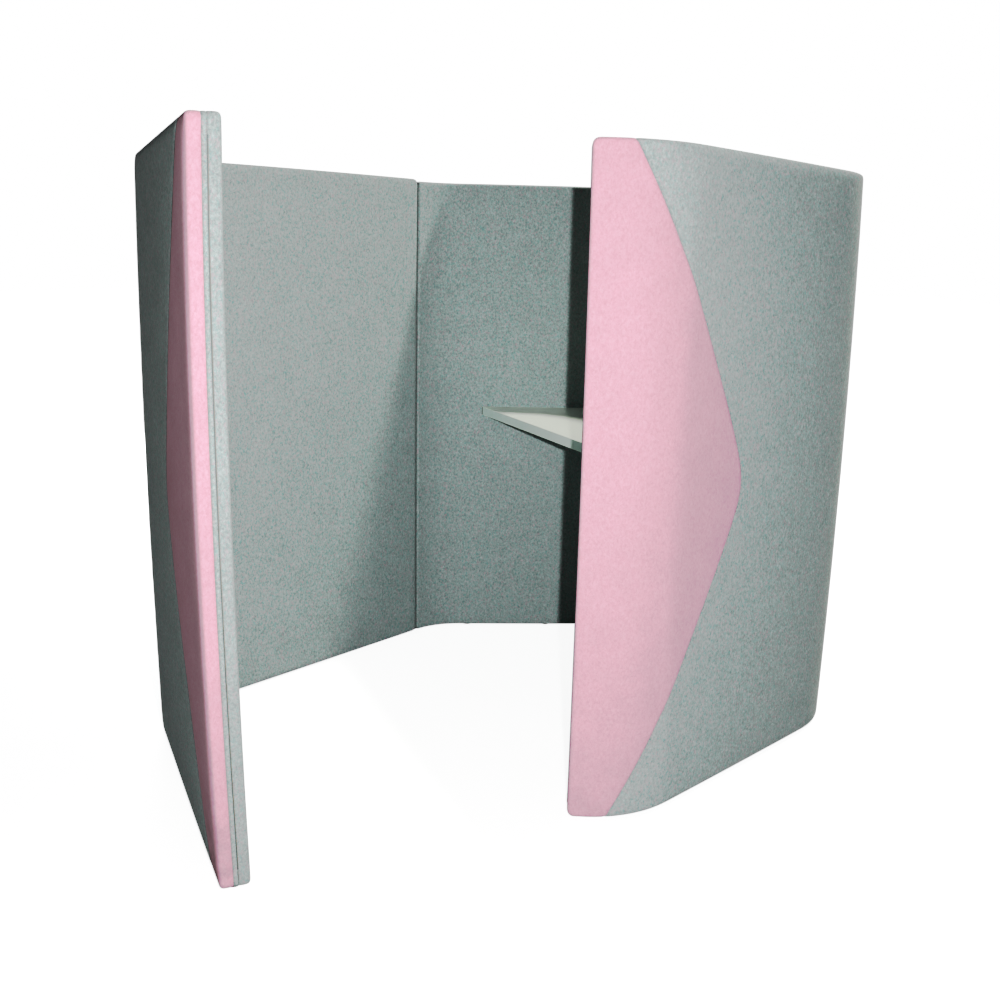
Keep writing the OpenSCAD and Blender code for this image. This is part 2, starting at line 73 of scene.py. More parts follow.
EDGE_STEPS = np.array([0, 2, 4.5, 9, 14, 20]) * MM      # columns and rows beside an edge
SEAM_STEPS = np.array([0, 2.5, 6, 12]) * MM             # columns beside an insert's seam
PITCH = 18 * MM                                         # of the columns and rows elsewhere
INSERT_COLUMNS = 16                                     # across an insert, at every height


def inward(h):
    return np.stack([np.sin(h), -np.cos(h)], -1)


def ahead(h):
    return np.stack([np.cos(h), np.sin(h)], -1)


def leg_length(leg):
    return leg[0] * math.radians(leg[1]) if len(leg) > 1 else leg[0]


def along(pose, leg, d):
    """Pose (point, heading) at distances d along a leg."""
    point, h = pose
    d = np.asarray(d, float)
    if len(leg) > 1:
        centre = point + leg[0] * inward(h)
        turned = h - d / leg[0]
        return centre - leg[0] * inward(turned), turned
    return point + d[..., None] * ahead(h), np.full(d.shape, h)


def wall_path(wall, s):
    """Points of the outer face and headings, at distances s along a wall. It runs on past its ends."""
    s = np.asarray(s, float)
    point, head = np.zeros(s.shape + (2,)), np.zeros(s.shape)
    pose, done = wall["pose"], 0.0
    for i, leg in enumerate(wall["legs"]):
        length = leg_length(leg)
        first, last = i == 0, i == len(wall["legs"]) - 1
        inside = (first | (s >= done)) & (last | (s < done + length))
        q = s[inside] - done
        over = np.where(q > length, q - length, 0) + np.where(q < 0, q, 0)
        p, h = along(pose, leg, np.clip(q, 0, length))
        point[inside] = p + over[:, None] * ahead(h)
        head[inside] = h
        end, h_end = along(pose, leg, length)
        pose, done = (end, float(h_end)), done + length
    return point, head


def place(wall, s, depth, z):
    """Points in the CAD's frame, from distance along a wall, depth behind its outer face and height over its
    bottom."""
    p, h = wall_path(wall, s)
    p = p + np.asarray(depth)[..., None] * inward(h)
    flip = -1 if wall["flip"] else 1
    return np.stack([p[..., 0], flip * p[..., 1], np.asarray(z) + FLOOR_GAP], -1)


def new_wall(name, pose, legs, flip, height, tip=None):
    """A wall whose path starts at a pose (point, heading). Without a tip it has no insert and no zip."""
    return {"name": name, "pose": pose, "legs": legs, "flip": flip, "height": height, "tip": tip,
            "length": sum(map(leg_length, legs))}


def make_walls():
    """Right, rear and left. The first two start back to back in the middle of the wall behind the worktop."""
    desk_wall_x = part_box("right_outer_cover")[1].x
    start = (np.array([desk_wall_x, -HALF_JOINT]), math.radians(-90))
    right = new_wall("right", start, SIDE_LEGS, False, SCREEN_H, RIGHT_TIP)
    rear = new_wall("rear", start, SIDE_LEGS[:4], True, SCREEN_H - REAR_STEP)
    end, h = wall_path(rear, np.array([rear["length"]]))
    joint = (end[0] + 2 * HALF_JOINT * ahead(h[0]), float(h[0]))
    left = new_wall("left", joint, LEFT_LEGS, True, SCREEN_H, LEFT_TIP)
    return right, rear, left


def insert_length(tip, z):
    """Length of an insert at height z over the screen's bottom, as in the CAD."""
    up = z - INSERT_TIP_Z
    far = np.where(up < 0, INSERT_TIP_Z, SCREEN_H - INSERT_TIP_Z)
    whole_drop = np.hypot(far, INSERT_ROUND) - INSERT_ROUND
    drop = np.hypot(up, INSERT_ROUND) - INSERT_ROUND
    return tip - (tip - INSERT_EDGE) * drop / whole_drop


# ---- Felt skins ----

TINY = 1e-12                # keeps a division from failing


def between(a, b, n):
    """n places spaced evenly between a and b, without either."""
    return [a + (b - a) * k / (n + 1) for k in range(1, n + 1)]


def even_steps(length):
    """Distances over a length, close together near both ends."""
    near, far = EDGE_STEPS[-1], length - EDGE_STEPS[-1]
    n = round((far - near) / PITCH) - 1
    return np.array(list(EDGE_STEPS) + between(near, far, n) + list(length - EDGE_STEPS[::-1]))


def wall_columns(wall, z):
    """Distances of the grid's columns at height z, with one column along the insert's edge."""
    length = wall["length"]
    if wall["tip"] is None:
        return even_steps(length), None
    seam = length - float(insert_length(wall["tip"], np.float64(z)))
    edge, side = EDGE_STEPS[-1], SEAM_STEPS[-1]
    n = round((length - wall["tip"] - edge - side) / PITCH) - 1
    grey = list(EDGE_STEPS) + between(edge, seam - side, n) + list(seam - SEAM_STEPS[::-1])
    pink = list(seam + SEAM_STEPS[1:]) + between(seam + side, length - edge, INSERT_COLUMNS)
    pink += list(length - EDGE_STEPS[::-1])
    return np.array(grey + pink), len(grey) - 1


RING_OUTER = [2, 4.5, 9, 14, 20, 24, 26, 28, 31, 34]    # depths of the rings round the edges, in millimetres
RING_INNER = [39, 42.5, 46, 51, 55.5, 58]
INSERT_RING = RING_OUTER.index(round(INSERT_WRAP / MM))
LIP, ZIP_LIP = 0.3 * MM, 1.1 * MM       # half widths of the closing seam, plain and at the zip
ZIP_SHY = 24 * MM                       # from the top and bottom, where the lips start to open
ZIP_RISE = 8 * MM                       # and over what length they do


def wall_skin(wall):
    """The whole felt of a wall as one closed grid: s, depth and z of the corners, quads and their regions."""
    length, height = wall["length"], wall["height"]
    zs = even_steps(height)
    rows = [wall_columns(wall, z) for z in zs]
    s_grid = np.array([r[0] for r in rows])
    seam_col = rows[0][1]
    nz, nc = s_grid.shape
    z_grid = np.repeat(zs[:, None], nc, 1)
    # The rings round the edges, from the outer face to the inner one. rim runs once round the grid's border.
    rim = [(0, i) for i in range(nc)] + [(j, nc - 1) for j in range(1, nz)]
    rim += [(nz - 1, i) for i in range(nc - 2, -1, -1)] + [(j, 0) for j in range(nz - 2, 0, -1)]
    rim_s = np.array([s_grid[j, i] for j, i in rim])
    rim_z = np.array([z_grid[j, i] for j, i in rim])
    front = np.array([wall["tip"] is not None and i == nc - 1 for j, i in rim])
    rise = np.clip((np.minimum(rim_z, height - rim_z) - ZIP_SHY) / ZIP_RISE, 0, 1)
    lip = LIP + (ZIP_LIP - LIP) * np.where(front, rise * rise * (3 - 2 * rise), 0)
    rings = [np.full(len(rim), y * MM) for y in RING_OUTER] + [SEAM_DEPTH - lip, SEAM_DEPTH + lip]
    rings += [np.full(len(rim), y * MM) for y in RING_INNER]
    s = [s_grid.ravel()] + [rim_s] * len(rings) + [s_grid.ravel()]
    z = [z_grid.ravel()] + [rim_z] * len(rings) + [z_grid.ravel()]
    y = [np.zeros(nz * nc)] + rings + [np.full(nz * nc, THICK)]
    # Both faces, then the band between them.
    n_face, n_rim = nz * nc, len(rim)
    inner0 = n_face + len(rings) * n_rim
    quads, region = [], []
    for j in range(nz - 1):
        for i in range(nc - 1):
            a = j * nc + i
            quads.append((a, a + 1, a + nc + 1, a + nc))
            region.append("insert" if seam_col is not None and i >= seam_col else "outer")
            quads.append((inner0 + a, inner0 + a + nc, inner0 + a + nc + 1, inner0 + a + 1))
            region.append("inner")
    rim_face = [j * nc + i for j, i in rim]
    levels = [rim_face] + [[n_face + k * n_rim + m for m in range(n_rim)] for k in range(len(rings))]
    levels += [[inner0 + v for v in rim_face]]
    lip_level = len(RING_OUTER) + 1
    for k in range(len(levels) - 1):
        for m in range(n_rim):
            n = (m + 1) % n_rim
            quads.append((levels[k][m], levels[k + 1][m], levels[k + 1][n], levels[k][n]))
            pink = seam_col is not None and k <= INSERT_RING and min(rim[m][1], rim[n][1]) >= seam_col
            zipped = k == lip_level and lip[m] + lip[n] > LIP + ZIP_LIP
            region.append("insert" if pink else "outer" if k < lip_level else "zip" if zipped else "inner")
    s, y, z = (np.concatenate(parts) for parts in (s, y, z))
    return {"s": s, "y": y, "z": z, "quads": quads, "region": region}


def round_off(wall, s, y, z):
    """Rounds the edges and the corners of the flat grid."""
    length, height = wall["length"], wall["height"]
    a, b = np.minimum(s, length - s), np.minimum(z, height - z)
    x = np.minimum(a, b)
    depth = np.minimum(y, THICK - y)
    vx, vy = np.minimum(x - EDGE_R, 0), np.minimum(depth - EDGE_R, 0)
    near = (vx < 0) & (vy < 0)
    size = np.where(near, np.hypot(vx, vy), 1)
    new_x = np.where(near, EDGE_R + vx * EDGE_R / size, x)
    new_depth = np.where(near, EDGE_R + vy * EDGE_R / size, depth)
    y = np.where(y < THICK / 2, new_depth, THICK - new_depth)
    u, v = CORNER_R - a, CORNER_R - b
    corner = (u > 0) & (v > 0)
    scale = np.where(corner, (CORNER_R - new_x) / np.where(corner, np.hypot(u, v), 1), 1)
    shift = new_x - x
    new_a = np.where(corner, CORNER_R - u * scale, np.where(a <= b, a + shift, a))
    new_b = np.where(corner, CORNER_R - v * scale, np.where(b < a, b + shift, b))
    s = np.where(s < length / 2, new_a, length - new_a)
    return s, y, np.where(z < height / 2, new_b, height - new_b)


def normals(points, quads):
    quads = np.array(quads)
    q = points[quads]
    n = np.cross(q[:, 2] - q[:, 0], q[:, 3] - q[:, 1])
    total = np.zeros_like(points)
    for k in range(4):
        np.add.at(total, quads[:, k], n)
    return total / np.maximum(np.linalg.norm(total, axis=1), TINY)[:, None]


def new_object(name, points, faces):
    mesh = bpy.data.meshes.new(name)
    mesh.from_pydata([tuple(p) for p in points], [], [tuple(f) for f in faces])
    mesh.update()
    obj = bpy.data.objects.new(name, mesh)
    bpy.context.scene.collection.objects.link(obj)
    return obj


# The felt is blown up a little over its foam by a cloth simulation, held at the edges and the closing seam.
PRESSURE = 4.0
SIM_FRAMES = 20
OUTER_CAP, INNER_CAP = 2.6 * MM, 1.0 * MM       # farthest that the felt may stand proud


def puff(name, points, quads, hold):
    """How far a cloth simulation moves each point of a closed skin along its normal."""
    obj = new_object(name + "_cloth", points, quads)
    group = obj.vertex_groups.new(name="hold")
    for i in np.nonzero(hold > 0)[0]:
        group.add([int(i)], float(hold[i]), "REPLACE")
    mod = obj.modifiers.new("cloth", "CLOTH")
    cloth = mod.settings
    cloth.quality = 4
    cloth.mass = 0.3
    cloth.tension_stiffness = 15
    cloth.compression_stiffness = 15
    cloth.bending_stiffness = 0.5
    cloth.use_pressure = True
    cloth.uniform_pressure_force = PRESSURE
    cloth.vertex_group_mass = "hold"
    cloth.effector_weights.gravity = 0
    mod.point_cache.frame_start, mod.point_cache.frame_end = 1, SIM_FRAMES
    scene = bpy.context.scene
    for f in range(1, SIM_FRAMES + 1):
        scene.frame_set(f)
    evaluated = obj.evaluated_get(bpy.context.evaluated_depsgraph_get())
    moved = np.empty(len(points) * 3, np.float32)
    evaluated.data.vertices.foreach_get("co", moved)
    bpy.data.objects.remove(obj)
    scene.frame_set(1)
    return ((moved.reshape(-1, 3) - points) * normals(points, quads)).sum(1)


def soft_noise(points, scale, seed):
    return np.array([noise.noise(Vector(p) * scale + Vector((seed, 0, 0))) for p in points])


CLOSING_DIP, CLOSING_SPREAD = 0.8 * MM, 2.0 * MM    # depth and reach of the valley along the closing seam
INSERT_DIP, INSERT_SPREAD = 1.0 * MM, 3.2 * MM      # and along an insert's seam
FAR = 1.0                                           # farther from a seam than any valley reaches
ROUNDING = 1e-6


def seam_valley(wall, skin):
    """How deep the felt dips at each point beside the insert's seam and the closing seam."""
    s, y, z = skin["s"], skin["y"], skin["z"]
    to_closing = np.maximum(np.abs(y - SEAM_DEPTH) - LIP, 0)
    on_band = (y > EDGE_R) & (y < THICK - EDGE_R)
    dip = np.where(on_band, CLOSING_DIP * np.exp(-(to_closing / CLOSING_SPREAD) ** 2), 0)
    if wall["tip"] is not None:
        seam = wall["length"] - insert_length(wall["tip"], z)
        rise = insert_length(wall["tip"], z + MM) - insert_length(wall["tip"], z - MM)
        beside = np.abs(s - seam) / np.hypot(1, rise / (2 * MM))
        beside = np.where(y <= INSERT_WRAP + ROUNDING, beside, np.hypot(beside, y - INSERT_WRAP))
        wrap = np.where((s > seam) & on_band, np.abs(y - INSERT_WRAP), FAR)
        near = np.minimum(np.where(y < SEAM_DEPTH, beside, FAR), wrap)
        dip = dip + INSERT_DIP * np.exp(-(near / INSERT_SPREAD) ** 2)
    return dip


# Painted shade: the felt's colour is darkened beside the seams, on the inner faces and where two screens meet.
SEAM_SHADE = 0.4
INNER_SHADE = 0.12                              # painted shade: the inner felts are darkened all over, so that the inside looks dimmer
JOINT_SHADE, JOINT_SPREAD = 0.7, 2.4 * MM       # painted shade where two screens meet, and its reach


def seam_joint_painted_shade(wall, skin):
    """How much painted shade, 0 to 1, darkens the felt beside the seams, on the inner faces and where two
    screens meet.
    """
    shade = np.clip(seam_valley(wall, skin) / INSERT_DIP, 0, 1) * SEAM_SHADE
    to_joint = skin["s"] if wall["tip"] is not None else np.minimum(skin["s"], wall["length"] - skin["s"])
    shade = np.maximum(shade, np.where(skin["y"] > SEAM_DEPTH, INNER_SHADE, 0))
    return np.maximum(shade, JOINT_SHADE * np.exp(-(to_joint / JOINT_SPREAD) ** 2))


def pull_back(bm, gap):
    """Draws the open edges of a felt back, so that two felts in a seam don't share a place."""
    moves = {}
    for v in bm.verts:
        if v.is_boundary:
            inner = [e.other_vert(v) for e in v.link_edges if not e.is_boundary]
            if inner:
                d = sum((w.co - v.co for w in inner), Vector()) / len(inner)
                moves[v] = d.normalized() * gap
    for v, d in moves.items():
        v.co += d


FELT = 2 * MM               # thickness of the felts
SEAM_GAP = 0.12 * MM


def felt_piece(node, material, points, quads, keep, painted_shade):
    """One felt of a wall in place of its CAD node: the quads to keep, rounded and given their thickness."""
    used = sorted({v for q, k in zip(quads, keep) if k for v in q})
    index = {v: i for i, v in enumerate(used)}
    faces = [[index[v] for v in q] for q, k in zip(quads, keep) if k]
    obj = new_object(node + "_felt", points[used], faces)
    # per-point painted shade beside the seams, on the inner faces and at the joints, read by the felt shader
    shade = obj.data.attributes.new("painted_shade", "FLOAT", "POINT")
    shade.data.foreach_set("value", painted_shade[used].astype(np.float32))
    bm = bmesh.new()
    bm.from_mesh(obj.data)
    pull_back(bm, SEAM_GAP)
    bm.to_mesh(obj.data)
    bm.free()
    for p in obj.data.polygons:
        p.use_smooth = True
    smooth = obj.modifiers.new("smooth", "SUBSURF")
    smooth.levels = smooth.render_levels = 1
    smooth.boundary_smooth = "ALL"
    thick = obj.modifiers.new("thick", "SOLIDIFY")
    thick.thickness, thick.offset = FELT, -1
    obj.data.materials.append(material)
    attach(obj, "screens")
    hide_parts(node)


WAVES = [(0.45 * MM, 5.0, 3.0), (0.25 * MM, 14.0, 8.0)]     # of uneven foam: height, noise scale, seed
WAVE_FADE = 30 * MM                                         # they grow over this distance from an edge


def point_out(wall, points, n):
    """Whether the normals n point out of a wall, judged in the middle of its outer face."""
    s, z = np.array([wall["length"] / 2]), np.array([wall["height"] / 2])
    outer, inner = (place(wall, s, np.array([depth]), z)[0] for depth in (0.0, THICK))
    nearest = np.argmin(((points - outer) ** 2).sum(1))
    return n[nearest] @ (outer - inner) >= 0


def make_felt(wall, grey, pink):
    skin = wall_skin(wall)
    s, y, z = round_off(wall, skin["s"], skin["y"], skin["z"])
    points, quads = place(wall, s, y, z), skin["quads"]
    n = normals(points, quads)
    if not point_out(wall, points, n):
        quads = [q[::-1] for q in quads]
        n = -n
    a = np.minimum(skin["s"], wall["length"] - skin["s"])
    x = np.minimum(a, np.minimum(skin["z"], wall["height"] - skin["z"]))
    on_face = (skin["y"] < MM) | (skin["y"] > THICK - MM)
    fade = np.where(on_face, np.clip((x - EDGE_R) / WAVE_FADE, 0, 1), 0)
    move = sum(height * fade * soft_noise(points, scale, seed) for height, scale, seed in WAVES)
    hold = np.where(on_face & (x > EDGE_R / 2), 0, 1.0)
    out = puff(wall["name"], points, quads, hold)
    cap = np.where(skin["y"] > THICK / 2, INNER_CAP, OUTER_CAP)
    move = move + np.where(on_face, cap * np.tanh(np.maximum(out, 0) / cap), 0)
    move = np.maximum(move, np.where(on_face, 0.0, -1)) - seam_valley(wall, skin)
    points = points + move[:, None] * n
    painted_shade = seam_joint_painted_shade(wall, skin)
    parts = [("outer", "_outer_cover", "felt_grey", grey), ("inner", "_inner_cover", "felt_grey", grey)]
    if wall["tip"] is not None:
        parts.append(("insert", "_insert", "felt_pink", pink))
    for region, ending, slot, material in parts:
        keep = [r == region for r in skin["region"]]
        felt_piece(wall["name"] + ending, material, points, quads, keep, painted_shade)


# ---- Materials ----

MIX_FACTOR, MIX_A, MIX_B, MIX_RESULT = 0, 6, 7, 2       # sockets of a Mix node for colours
NOISE_LOW, NOISE_HIGH = 0.3, 0.7                        # nearly all of a noise lies between these


class Shader:
    """A small helper that adds nodes to a material and links them."""

    def __init__(self, name):
        self.material = bpy.data.materials.new(name)
        self.material.use_nodes = True
        self.tree = self.material.node_tree
        self.main = self.tree.nodes["Principled BSDF"]
        coords = self.tree.nodes.new("ShaderNodeTexCoord")
        self.place = coords.outputs["Object"]

    def put(self, socket, value):
        if isinstance(value, bpy.types.NodeSocket):
            self.tree.links.new(value, socket)
        else:
            socket.default_value = value

    def node(self, kind, inputs=None, **settings):
        made = self.tree.nodes.new("ShaderNode" + kind)
        for key, value in settings.items():
            setattr(made, key, value)
        for key, value in (inputs or {}).items():
            self.put(made.inputs[key], value)
        return made

    def stretch(self, scale):
        return self.node("Mapping", {"Vector": self.place, "Scale": scale}).outputs[0]

    def noise(self, scale, detail=2.0, rough=0.5, vector=None, distortion=0.0):
        inputs = {"Vector": vector or self.place, "Scale": scale, "Detail": detail, "Roughness": rough,
                  "Distortion": distortion}
        return self.node("TexNoise", inputs).outputs["Fac"]

    def ramp(self, fac, *stops):
        made = self.node("ValToRGB", {"Fac": fac})
        bar = made.color_ramp
        while len(bar.elements) < len(stops):
            bar.elements.new(0.5)
        for element, (at, colour) in zip(bar.elements, stops):
            element.position = at
            element.color = tuple(colour) + (1,) if len(colour) == 3 else colour
        return made.outputs["Color"]

    def span(self, value, low, high, to_low=0.0, to_high=1.0):
        return self.node("MapRange", {"Value": value, "From Min": low, "From Max": high, "To Min": to_low,
                                      "To Max": to_high}).outputs["Result"]

    def spread(self, value, to_low, to_high):
        """A noise's usual range, spread over another one."""
        return self.span(value, NOISE_LOW, NOISE_HIGH, to_low, to_high)

    def grey(self, value):
        return self.node("CombineColor", {0: value, 1: value, 2: value}).outputs[0]

    def mix(self, fac, a, b, blend="MIX"):
        made = self.node("Mix", data_type="RGBA", blend_type=blend)
        self.put(made.inputs[MIX_FACTOR], fac)
        self.put(made.inputs[MIX_A], a)
        self.put(made.inputs[MIX_B], b)
        return made.outputs[MIX_RESULT]

    def maths(self, operation, a, b=0.0):
        made = self.node("Math", operation=operation)
        self.put(made.inputs[0], a)
        self.put(made.inputs[1], b)
        return made.outputs[0]

    def bump(self, height, strength, distance, under=None):
        inputs = {"Height": height, "Strength": strength, "Distance": distance}
        if under:
            inputs["Normal"] = under
        return self.node("Bump", inputs).outputs["Normal"]

    def set(self, **inputs):
        for key, value in inputs.items():
            self.put(self.main.inputs[key.replace("_", " ")], value)
        return self.material


def rgb(*c):
    return tuple(c) + (1.0,)


def times(colour, factor, plus=0.0):
    return rgb(*[min(1, c * factor + plus) for c in colour[:3]])


BLACK, FULL = (0, 0, 0), (1, 1, 1)
TUFT_SHARE = 0.62                   # of the tufts in the felt's melange; the rest is single fibres
SOIL = rgb(0.16, 0.13, 0.12)
SOIL_HEIGHT = (0.01, 0.20)          # scuffs near the floor fade out between these heights
SOIL_SIDE = (-0.6, -0.4)            # and grow weaker to the right between these x
EDGE_ON_SHADE_RANGE = (0.62, 0.86)              # how far a face is turned away where the painted edge-on shade starts and is full


def felt_shader(name, deep, mid, light, fleck_a, fleck_b, fleck_share, soil, painted_shade, painted_shade_colour, sheen,
                edge_on_painted_shade):
    """Melange wool felt: tufts of differently dyed fibres, flecks, a fine nap and soft mottling. soil is the
    strength of the scuffs; the crease strength and its colour give a painted shade beside the seams, on the
    inner faces and where two screens meet. Seen along its face the felt is painted darker by the edge-on
    factors: a painted shade where a face is seen edge-on."""
    m = Shader(name)
    upright = m.stretch((1.0, 1.0, 0.72))
    tufts = m.noise(200, detail=4.0, rough=0.66, vector=upright, distortion=0.6)
    fibres = m.noise(800, detail=4.0, rough=0.68, vector=upright, distortion=1.2)
    single = m.maths("MULTIPLY", fibres, 1 - TUFT_SHARE)
    blend = m.maths("ADD", m.maths("MULTIPLY", tufts, TUFT_SHARE), single)
    colour = m.ramp(blend, (0.38, deep), (0.50, mid), (0.62, light))
    shifted = m.node("Mapping", {"Vector": upright, "Location": (7, 3, 5)}).outputs[0]
    for scale, vector, fleck in ((230, upright, fleck_a), (210, shifted, fleck_b)):
        spots = m.ramp(m.noise(scale, vector=vector, distortion=0.8), (0.54, BLACK), (0.66, FULL))
        colour = m.mix(m.maths("MULTIPLY", spots, fleck_share), colour, fleck)
    mottle = m.spread(m.noise(16, detail=3.0, rough=0.6), 0.965, 1.03)
    colour = m.mix(1.0, colour, m.grey(mottle), "MULTIPLY")
    spot = m.node("SeparateXYZ", {"Vector": m.place}).outputs
    patches = m.span(m.noise(30, detail=3.0), 0.35, 0.7)
    low = m.maths("MULTIPLY", m.span(spot["Z"], *SOIL_HEIGHT, 1.0, 0.0), patches)
    low = m.maths("MULTIPLY", low, m.span(spot["X"], *SOIL_SIDE, 1.0, 0.2))
    colour = m.mix(m.maths("MULTIPLY", low, soil), colour, SOIL)
    # painted shade beside the seams, on the inner faces and at the joints
    shade = m.node("Attribute", attribute_name="painted_shade").outputs["Fac"]
    colour = m.mix(m.maths("MULTIPLY", shade, painted_shade), colour, painted_shade_colour)
    # painted shade: the colour is darkened where the face is seen edge-on
    turned = m.node("LayerWeight", {"Blend": 0.5}).outputs["Facing"]
    colour = m.mix(m.span(turned, *EDGE_ON_SHADE_RANGE), colour, rgb(*edge_on_painted_shade), "MULTIPLY")
    tuft_bump = m.bump(tufts, strength=0.45, distance=0.7 * MM)
    nap = m.bump(fibres, strength=0.35, distance=0.5 * MM, under=tuft_bump)
    return m.set(Base_Color=colour, Roughness=m.spread(tufts, 0.86, 0.98), Normal=nap,
                 Specular_IOR_Level=0.18, Sheen_Weight=sheen, Sheen_Roughness=0.45,
                 Sheen_Tint=times(light, 0.5, plus=0.5))


def wood_shader(name, pale, dark, plies):
    m = Shader(name)
    grain = m.noise(18, detail=6.0, rough=0.6, vector=m.stretch((1.0, 1.0, 0.08)), distortion=1.5)
    fine = m.noise(220, vector=m.stretch((1.0, 1.0, 0.05)))
    colour = m.mix(m.spread(grain, 0.0, 1.0), pale, dark)
    colour = m.mix(m.span(fine, 0.4, 0.75, 0.0, 0.35), colour, dark)
    if plies:
        layer = m.node("TexWave", {"Vector": m.place, "Scale": 160.0, "Distortion": 1.0})
        colour = m.mix(m.maths("MULTIPLY", layer.outputs["Fac"], 0.15), colour, dark)
    return m.set(Base_Color=colour, Roughness=0.62, Normal=m.bump(fine, strength=0.25, distance=0.3 * MM))


def foam_shader(name, pale, dark, scale):
    m = Shader(name)
    cells = m.node("TexVoronoi", {"Vector": m.place, "Scale": scale}).outputs["Distance"]
    colour = m.mix(m.span(cells, 0.1, 0.7), dark, pale)
    return m.set(Base_Color=colour, Roughness=0.95, Specular_IOR_Level=0.1,
                 Normal=m.bump(cells, strength=0.6, distance=0.8 * MM))


def wool_slab_shader(name, dark, mid, pale):
    m = Shader(name)
    layers = m.noise(120, detail=5.0, rough=0.7, vector=m.stretch((1.0, 1.0, 0.2)), distortion=2.0)
    colour = m.ramp(layers, (0.35, dark), (0.5, mid), (0.68, pale))
    return m.set(Base_Color=colour, Roughness=0.97, Normal=m.bump(layers, strength=0.7, distance=1.0 * MM))


def board_shader(name, dark, pale):
    m = Shader(name)
    chips = m.node("TexVoronoi", {"Vector": m.stretch((1.0, 1.0, 2.5)), "Scale": 260.0})
    colour = m.mix(m.span(chips.outputs["Color"], 0.0, 1.0), dark, pale)
    return m.set(Base_Color=colour, Roughness=0.8,
                 Normal=m.bump(chips.outputs["Distance"], strength=0.4, distance=0.4 * MM))


def laminate_shader(name, colour, worn, rough, end=None):
    """Matt melamine with a fine pearl grain, wiping marks and a slight unevenness of its gloss. Beyond |y| = end
    it is painted dark: a painted shade for the shadowed gap between the band's end and the felt."""
    m = Shader(name)
    pearl = m.noise(1400, rough=0.6)
    smears = m.noise(9, detail=4.0, rough=0.65, vector=m.stretch((1.0, 3.0, 1.0)), distortion=0.8)
    shade = m.mix(m.span(smears, 0.45, 0.75, 0.0, 0.25), colour, worn)
    shade = m.mix(m.span(pearl, 0.5, 0.75, 0.0, 0.10), shade, worn)
    if end:
        aside = m.maths("ABSOLUTE", m.node("SeparateXYZ", {"Vector": m.place}).outputs["Y"])
        # painted shade at the band's end, beyond |y| = end
        shade = m.mix(m.span(aside, end - 0.5 * MM, end + 0.5 * MM), shade, BAND_END_PAINTED_SHADE)
    return m.set(Base_Color=shade, Roughness=m.spread(smears, rough - 0.05, rough + 0.07),
                 Specular_IOR_Level=0.42, Normal=m.bump(pearl, strength=0.10, distance=0.05 * MM))


def metal_shader(name, colour, rough, brushed):
    m = Shader(name)
    grain = m.noise(260, detail=3.0, rough=0.6, vector=m.stretch((1.0, 1.0, 0.06 if brushed else 1.0)))
    spots = m.noise(70, detail=4.0, rough=0.7)
    shade = m.mix(m.span(spots, 0.5, 0.8, 0.0, 0.4), colour, times(colour, 0.6))
    return m.set(Base_Color=shade, Metallic=1.0, Roughness=m.spread(grain, rough - 0.08, rough + 0.10),
                 Normal=m.bump(grain, strength=0.12, distance=0.1 * MM))


def coat_shader(name, colour, rough, scale):
    """Powder coat or moulded nylon: a fine orange peel with scuffs."""
    m = Shader(name)
    peel = m.noise(scale)
    scuffs = m.noise(60, detail=5.0, rough=0.75, distortion=1.0)
    shade = m.mix(m.span(scuffs, 0.55, 0.75, 0.0, 0.35), colour, times(colour, 2.2, plus=0.03))
    return m.set(Base_Color=shade, Roughness=m.spread(scuffs, rough, rough + 0.15),
                 Normal=m.bump(peel, strength=0.2, distance=0.1 * MM))


def tape_shader(name, dark, pale):
    m = Shader(name)
    wave = m.node("TexWave", {"Vector": m.place, "Scale": 500.0, "Distortion": 0.5}, bands_direction="Z")
    weave = wave.outputs["Fac"]
    return m.set(Base_Color=m.mix(weave, dark, pale), Roughness=0.75,
                 Normal=m.bump(weave, strength=0.4, distance=0.2 * MM))


# Painted shade: the dark colour at the edge band's end stands for the shadowed gap between the band and the
# felt.
BAND_END_PAINTED_SHADE = rgb(0.07, 0.06, 0.055)
BAND_END_SHADE_WIDTH = 4.5 * MM
grey_felt = felt_shader(
    "felt_grey", deep=(0.25, 0.315, 0.31), mid=(0.385, 0.455, 0.448), light=(0.53, 0.60, 0.595),
    fleck_a=rgb(0.20, 0.48, 0.47), fleck_b=rgb(0.62, 0.40, 0.47), fleck_share=0.43, soil=0.15,
    painted_shade=0.75, painted_shade_colour=rgb(0.05, 0.05, 0.045), sheen=0.2, edge_on_painted_shade=(0.98, 0.97, 0.96))
pink_felt = felt_shader(
    "felt_pink", deep=(0.76, 0.33, 0.44), mid=(0.835, 0.395, 0.525), light=(0.88, 0.48, 0.60),
    fleck_a=rgb(0.90, 0.58, 0.68), fleck_b=rgb(0.74, 0.33, 0.45), fleck_share=0.25, soil=0.60,
    painted_shade=0.35, painted_shade_colour=rgb(0.50, 0.15, 0.24), sheen=0.32, edge_on_painted_shade=(0.52, 0.75, 0.64))
